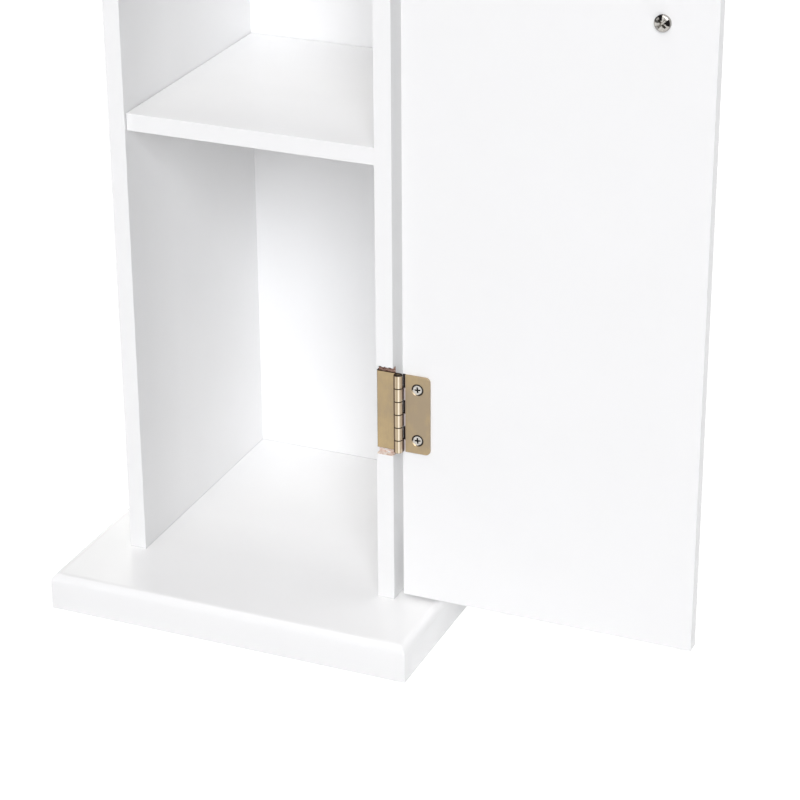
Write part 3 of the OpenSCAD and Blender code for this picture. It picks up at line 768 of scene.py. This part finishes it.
def turned_pattern(name, profile, recess=None, marks=()):
    """A turned piece with its top at the origin; a recess is a cross: span, slot, depth, turn and dark."""
    piece = new_piece(name, mesh_from(name, lathe(profile, SCREW_STEPS)))
    if recess:
        cutter = cross_cutter(*recess[:4])
        cut = piece.modifiers.new("cross recess", "BOOLEAN")
        cut.operation = "DIFFERENCE"
        cut.object = cutter
        cut.solver = "EXACT"
        baked(piece)
        bpy.data.objects.remove(cutter)
    bm = bmesh.new()
    bm.from_mesh(piece.data)
    bmesh.ops.remove_doubles(bm, verts=bm.verts, dist=MERGE_CUT)
    for face in bm.faces:
        face.smooth = True
    for link in bm.edges:
        link.smooth = link.calc_face_angle(0) < TURNED_EDGE
    bm.to_mesh(piece.data)
    bm.free()
    shares = [recess_share(face.center, profile, recess, marks) for face in piece.data.polygons]
    mark_faces(piece.data, "recess", shares)
    return piece


def recess_share(centre, profile, recess, marks):
    """How dark a face is painted, from 0 to 1: painted shade inside the cross, and painted shade and
    reflections in the marks round it.
    """
    if not recess:
        return 0.0
    out = math.hypot(centre.x, centre.y)
    span, dark_inside = recess[0], recess[-1]
    if out < span * CROSS_REACH and centre.z < height_at(profile, out) - CROSS_UNDER:
        return dark_inside
    head_r = max(radius for radius, height in profile)
    turn = math.degrees(math.atan2(centre.y, centre.x)) % 360
    for first, last, inner, outer, dark in marks:
        if first < turn < last and inner < out / head_r < outer:
            return dark
    return 0.0


def height_at(profile, out):
    """Height of a turned head's face at that distance from its axis."""
    down = profile[::-1]
    for (near, high), (far, low) in zip(down, down[1:]):
        if near <= out <= far:
            return high + (low - high) * (out - near) / max(far - near, NOTHING)
    return 0.0


def flat_head(name, head_r, shank_r, length, rise=0.3 * MM):
    """A countersunk wood screw with a low crown and a pointed end."""
    lip = rise + 0.25 * MM
    cone = (head_r - shank_r) * 0.9
    tip_r, tip, point = shank_r * 0.3, 0.4 * MM, 2.4 * MM
    profile = [(0, -length), (tip_r, -length + tip), (shank_r, -length + point),
               (shank_r, -(lip + cone)), (head_r, -lip)]
    profile += crown_points(head_r, rise, 6)
    span, slot, depth, turn, dark = FLAT_HEAD_CROSS
    cross = (head_r * span, head_r * slot, head_r * depth, turn, dark)
    return turned_pattern(name, profile, cross, HINGE_SCREW_SHADE)


def pan_head(name, head_r, head_h, shank_r, length, marks=()):
    """A screw with a low rounded head that sits on its face."""
    rise, corner = head_h * 0.2, head_h * 0.3
    end_r, chamfer, under = shank_r * 0.7, 0.5 * MM, 0.2 * MM
    profile = [(0, -length), (end_r, -length), (shank_r, -length + chamfer), (shank_r, -head_h),
               (head_r - under, -head_h), (head_r, -head_h + under)]
    profile += arc((head_r - corner, -rise - corner), corner, 0, 65, 5)
    profile += crown_points(head_r - corner * 0.7, rise, 9)
    span, slot, depth, turn, dark = PAN_HEAD_CROSS
    cross = (head_r * span, head_r * slot, head_h * depth, turn, dark)
    return turned_pattern(name, profile, cross, marks)


def nail(name, head_r, length):
    """A wire nail with a thin flat head and a point."""
    shank_r = head_r / 2
    head_h, edge, neck = 0.7 * MM, 0.15 * MM, 0.1 * MM
    point, dish, dish_r = 2 * MM, 0.06 * MM, head_r * 0.3
    profile = [(0, -length), (shank_r, -length + point), (shank_r, -head_h - neck),
               (head_r * 0.9, -head_h), (head_r, -head_h * 0.6), (head_r, -edge),
               (head_r * 0.88, 0), (dish_r, -dish), (0, -dish)]
    return turned_pattern(name, profile)


def shelf_pin(name, radius, length):
    """A steel pin with chamfered ends and two shallow grip rings, lying with its middle at the origin."""
    half = length / 2
    chamfer, groove = 0.6 * MM, 0.25 * MM
    profile = [(0, -half), (radius - chamfer, -half), (radius, -half + chamfer)]
    for at in (-0.12, 0.12):
        middle = half * at
        profile += [(radius, middle - 2 * groove), (radius - groove, middle - groove),
                    (radius - groove, middle + groove), (radius, middle + 2 * groove)]
    profile += [(radius, half - chamfer), (radius - chamfer, half), (0, half)]
    return turned_pattern(name, profile)


def fixings(steel):
    """Every screw, nail and shelf pin, at the places of its CAD solids."""
    patterns = {
        "hinge": flat_head("pattern_hinge_screw", head_r=2.75 * MM, shank_r=1.7 * MM, length=8 * MM),
        "base": flat_head("pattern_base_screw", head_r=3.5 * MM, shank_r=1.75 * MM, length=40 * MM),
        "strike": flat_head("pattern_strike_screw", head_r=2.75 * MM, shank_r=1.45 * MM, length=8.1 * MM,
                            rise=0.15 * MM),
        "catch": pan_head("pattern_catch_screw", head_r=2.6 * MM, head_h=1.8 * MM, shank_r=1.25 * MM,
                          length=13.7 * MM),
        "knob": pan_head("pattern_knob_screw", head_r=4 * MM, head_h=2.4 * MM, shank_r=1.95 * MM,
                         length=21.2 * MM, marks=KNOB_SCREW_SHADE_AND_REFLECTIONS),
        "nail": nail("pattern_nail", head_r=1.2 * MM, length=19.8 * MM),
        "pin": shelf_pin("pattern_shelf_pin", radius=2.49 * MM, length=14 * MM),
    }
    # Where a head faces: its axis, which end of its solid's box it lies at, and the pattern's turn
    quarter = math.pi / 2
    facing = {
        "-Y": (1, 0, (quarter, 0, 0)),
        "+Y": (1, 1, (-quarter, 0, 0)),
        "-X": (0, 0, (0, -quarter, 0)),
        "-Z": (2, 0, (math.pi, 0, 0)),
        "along X": (0, None, (0, quarter, 0)),
    }
    sets = [
        ("base_screws", "base", "-Z", "cabinet"),
        ("back_panel_nails", "nail", "+Y", "cabinet"),
        ("lower_shelf_pins", "pin", "along X", "cabinet"),
        ("upper_shelf_pins", "pin", "along X", "cabinet"),
        ("catch_screws", "catch", "-Z", "cabinet"),
        ("strike_screw", "strike", "-Y", "door"),
        ("knob_screw", "knob", "-Y", "door"),
    ]
    for hinge in HINGES:
        sets.append((hinge + "_hinge_door_screws", "hinge", "-Y", "door"))
        sets.append((hinge + "_hinge_frame_screws", "hinge", "-X", "cabinet"))
    tree = rows_tree()
    for node, pattern, side, body in sets:
        axis, end, turn = facing[side]
        places = []
        for box in islands(node):
            place = (box[0] + box[1]) / 2
            if end is not None:
                place[axis] = box[end][axis]
            places.append(place)
        piece = in_rows(tree, node + "_steel", patterns[pattern], steel, turn, places)
        dress(piece, steel, body, node)
    for pattern in patterns.values():
        bpy.data.objects.remove(pattern)


# Boards

def painted_boards():
    """The carcass and the door, with softened edges, and bare board with painted light and shade in the
    mortises and painted shade in the pockets.
    """
    paint = white_paint("white_paint")
    for node in ("base_board", "top_board", "left_side_panel", "back_panel", "lower_shelf", "upper_shelf"):
        dress(softened(node, node + "_painted", PAINT_EDGE), paint, "cabinet", node)
    panel_lo, panel_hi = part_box("right_side_panel")
    left, right = panel_lo.x - SPARE, panel_hi.x + SPARE
    front = panel_lo.y - SPARE
    door_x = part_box("door_panel")[0].x
    lit, shaded, lips, pockets = [], [], [], []
    for hinge in HINGES:
        leaf_lo, leaf_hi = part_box(hinge + "_hinge_frame_leaf")
        door_lo, door_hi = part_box(hinge + "_hinge_door_leaf")
        floor_y = door_hi.y
        back = floor_y + SPARE
        low, high = mortise_ends(floor_y, leaf_lo.z, leaf_hi.z)
        middle = (low + high) / 2
        lit.append(((left, front, low - SPARE), (right, back, middle)))
        shaded.append(((left, front, middle), (right, back, high + SPARE)))
        lips.append(((left + LIP_INSET, front, high - SPARE), (right, back, high + LIP_RISE)))
        pocket_x = door_lo.x + (door_hi.x - door_lo.x) * POCKET_WIDTH
        pockets.append(((door_x - SPARE, floor_y - SPARE, leaf_lo.z + SPARE),
                        (pocket_x, floor_y + POCKET_REACH, leaf_hi.z - SPARE)))
    # Bare board in the mortises: painted light below the leaf and painted shade above it
    bare = white_paint("white_paint_with_mortises", (lit, LIT_BOARD, LIT_COVER),
                       (shaded, SHADED_BOARD, SHADED_COVER), (lips, BLACK_BOARD, LIP_COVER))
    dress(softened("right_side_panel", "right_side_panel_painted", PANEL_EDGE), bare,
          "cabinet", "right_side_panel")
    # Black bare board in the pockets: painted shade
    pocketed = white_paint("white_paint_with_pockets", (pockets, BLACK_BOARD, POCKET_COVER))
    door = softened("door_panel", "door_panel_painted", PAINT_EDGE)
    for vert in door.data.vertices:
        depth = vert.co.y - floor_y
        if vert.co.x < pockets[0][1][0] and 0 < depth < POCKET_DEPTH + SPARE:
            vert.co.y = floor_y + depth * POCKET_SHARE
    dress(door, pocketed, "door", "door_panel")


# Hinges

def hinges(brass):
    """Leaves and pins of both hinges, with tumbled edges."""
    for hinge in HINGES:
        for part, body in (("frame_leaf", "cabinet"), ("pin", "cabinet"), ("door_leaf", "door")):
            node = f"{hinge}_hinge_{part}"
            piece = softened(node, node + "_brass", METAL_EDGE, 2)
            shade_ends_and_countersinks(piece.data, part == "door_leaf")
            dress(piece, brass, body, node)


def shade_ends_and_countersinks(mesh, keep_outline):
    """Marks as rim, for painted shade, the ends across the pin, and the countersinks except their lit lower
    left.
    """
    axis = pin_axis()
    barrel_r = (leaf_front() + LEAF_THICK - axis.y) * BARREL_CLEAR
    shallow, steep = COUNTERSINK_FACE
    rim = [0.0] * len(mesh.polygons)
    mesh.attributes["rim"].data.foreach_get("value", rim)
    for i, face in enumerate(mesh.polygons):
        way = [abs(part) for part in face.normal]
        away = math.hypot(face.center.x - axis.x, face.center.y - axis.y) > barrel_r
        countersink = away and shallow < way[1] < steep and max(way[0], way[2]) < steep
        if keep_outline and away:
            rim[i] = 0.0
        if countersink:
            rim[i] = 0.0 if face.normal.x > LIT_FACE and face.normal.z > LIT_FACE else 1.0
        elif way[2] > END_FACE and not (keep_outline and away):
            rim[i] = 1.0
    mark_faces(mesh, "rim", rim)


# Knob

def knob(brass):
    """Turned knob behind the open door: a foot with a bead, a hollow neck and a domed cap."""
    lo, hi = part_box("door_knob")
    radius = (hi.x - lo.x) / 2
    out = hi.y - lo.y
    foot_r, neck_r, rim_r, dome = radius * 0.535, radius * 0.36, radius * 0.36, 1.5 * MM
    bead, bead_z, bead_inset = 0.4 * MM, 0.9 * MM, 0.3 * MM
    step, step_z, hollow, hollow_z, under = 1.2 * MM, 1.6 * MM, 5 * MM, 7 * MM, 1.5 * MM
    rim_z = out - dome - rim_r
    profile = [(0, 0), (foot_r - bead_inset, 0)]
    profile += arc((foot_r - bead, bead_z), bead, -60, 90, 5)
    profile += [(foot_r - step, step_z)]
    profile += arc((neck_r + hollow, hollow_z), hollow, 250, 180, 8)
    profile += arc((neck_r + under, rim_z - rim_r - under), under, 180, 90, 5)
    profile += arc((radius - rim_r, rim_z), rim_r, -90, 90, 18)
    profile += [(r, out + z) for r, z in crown_points(radius - rim_r, dome, 8)[1:]]
    bm = lathe(profile, KNOB_STEPS)
    centre = (lo + hi) / 2
    place = Matrix.Translation((centre.x, lo.y, centre.z)) @ Matrix.Rotation(-math.pi / 2, 4, "X")
    bmesh.ops.transform(bm, matrix=place, verts=bm.verts)
    for face in bm.faces:
        face.smooth = True
    piece = new_piece("door_knob_brass", mesh_from("door_knob_brass", bm))
    dress(piece, brass, "door", "door_knob")


# Catch and hidden dowels

def catch_and_dowels(steel, plastic, magnet, wood):
    """The magnetic catch with its strike plate, and the dowels that the boards hide."""
    for made_of, edge, segments, finish, body, slot, node in (
            ("moulded", PLASTIC_EDGE, 3, plastic, "cabinet", "white_plastic", "catch_housing"),
            ("ferrite", METAL_EDGE, 3, magnet, "cabinet", "magnet", "catch_magnet"),
            ("steel", METAL_EDGE, 2, steel, "cabinet", "bright_steel", "catch_pole_plates"),
            ("steel", METAL_EDGE, 2, steel, "door", "bright_steel", "strike_plate")):
        dress(softened(node, f"{node}_{made_of}", edge, segments), finish, body, node)
    for node in ("base_dowels", "top_dowels"):
        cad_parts[node].data.materials.clear()
        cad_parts[node].data.materials.append(wood)


# Studio

def studio():
    """Pale floor, plain soft light and the camera of the photograph."""
    scene = bpy.context.scene
    scene.view_settings.view_transform = "Standard"
    signs = ((-1, -1), (1, -1), (1, 1), (-1, 1))
    corners = [(x * FLOOR_REACH, y * FLOOR_REACH, FLOOR_HEIGHT) for x, y in signs]
    mesh = bpy.data.meshes.new("floor")
    mesh.from_pydata(corners, [], [(0, 1, 2, 3)])
    floor = new_piece("floor", mesh)
    floor.data.materials.append(floor_material())

    world = bpy.data.worlds.new("studio")
    scene.world = world
    world.use_nodes = True
    nodes, links = world.node_tree.nodes, world.node_tree.links
    sky = nodes["Background"]
    sky.inputs["Color"].default_value = AMBIENT_COLOUR
    sky.inputs["Strength"].default_value = AMBIENT
    seen = nodes.new("ShaderNodeBackground")
    seen.inputs["Color"].default_value = WHITE
    seen.inputs["Strength"].default_value = 1.0
    by_ray(nodes, links, ("Camera", "Glossy", "Transmission"), sky.outputs["Background"],
           seen.outputs["Background"], nodes["World Output"].inputs["Surface"])

    for name, azimuth, elevation, watts, colour in LAMPS:
        lamp(name, azimuth, elevation, watts, colour)
    camera()


def floor_material():
    """Pale floor that the camera sees as white, with the object's shadow left on it."""
    material, nodes, links, shader = new_material("pale_floor")
    shader.inputs["Base Color"].default_value = FLOOR_COLOUR
    shader.inputs["Roughness"].default_value = FLOOR_ROUGH
    shader.inputs["Specular IOR Level"].default_value = 0.0
    glow = nodes.new("ShaderNodeEmission")
    glow.inputs["Color"].default_value = WHITE
    glow.inputs["Strength"].default_value = FLOOR_GLOW
    shaded = nodes.new("ShaderNodeBsdfDiffuse")
    shaded.inputs["Color"].default_value = FLOOR_SHADED
    both = nodes.new("ShaderNodeAddShader")
    links.new(glow.outputs["Emission"], both.inputs[0])
    links.new(shaded.outputs["BSDF"], both.inputs[1])
    by_ray(nodes, links, ("Camera", "Glossy"), shader.outputs["BSDF"],
           both.outputs["Shader"], nodes["Material Output"].inputs["Surface"])
    return material


def lamp(name, azimuth, elevation, watts, colour):
    """A soft box that points at the cabinet; azimuth 0 is in front of it, and 90 on its right."""
    data = bpy.data.lights.new(name, "AREA")
    data.size = LAMP_SIZE
    data.energy = watts
    data.color = colour
    light = new_piece(name, data)
    turn, lift = math.radians(azimuth), math.radians(elevation)
    away = Vector((math.sin(turn) * math.cos(lift), -math.cos(turn) * math.cos(lift), math.sin(lift)))
    light.location = LAMP_AIM + away * LAMP_AWAY
    light.rotation_mode = "QUATERNION"
    light.rotation_quaternion = (-away).to_track_quat("-Z", "Y")


def camera():
    """The camera, turned by yaw, pitch and roll from looking along +Y."""
    cp, sp = math.cos(CAMERA_PITCH), math.sin(CAMERA_PITCH)
    cy, sy = math.cos(CAMERA_YAW), math.sin(CAMERA_YAW)
    ahead = Vector((-sy * cp, cy * cp, -sp))
    level = Vector((cy, sy, 0))
    upward = level.cross(ahead)
    cr, sr = math.cos(CAMERA_ROLL), math.sin(CAMERA_ROLL)
    right = level * cr + upward * sr
    up = upward * cr - level * sr
    data = bpy.data.cameras.new("camera")
    data.lens = CAMERA_LENS
    data.sensor_width = SENSOR_WIDTH
    data.clip_start, data.clip_end = CAMERA_RANGE
    piece = new_piece("camera", data)
    turn = Matrix((right, up, -ahead)).transposed()
    piece.matrix_world = Matrix.Translation(CAMERA_PLACE) @ turn.to_4x4()
    bpy.context.scene.camera = piece


studio()
brass = antique_brass()
steel = bright_steel()
painted_boards()
hinges(brass)
knob(brass)
fixings(steel)
catch_and_dowels(steel, plain_finish("white_plastic"), plain_finish("ferrite"), plain_finish("beech"))
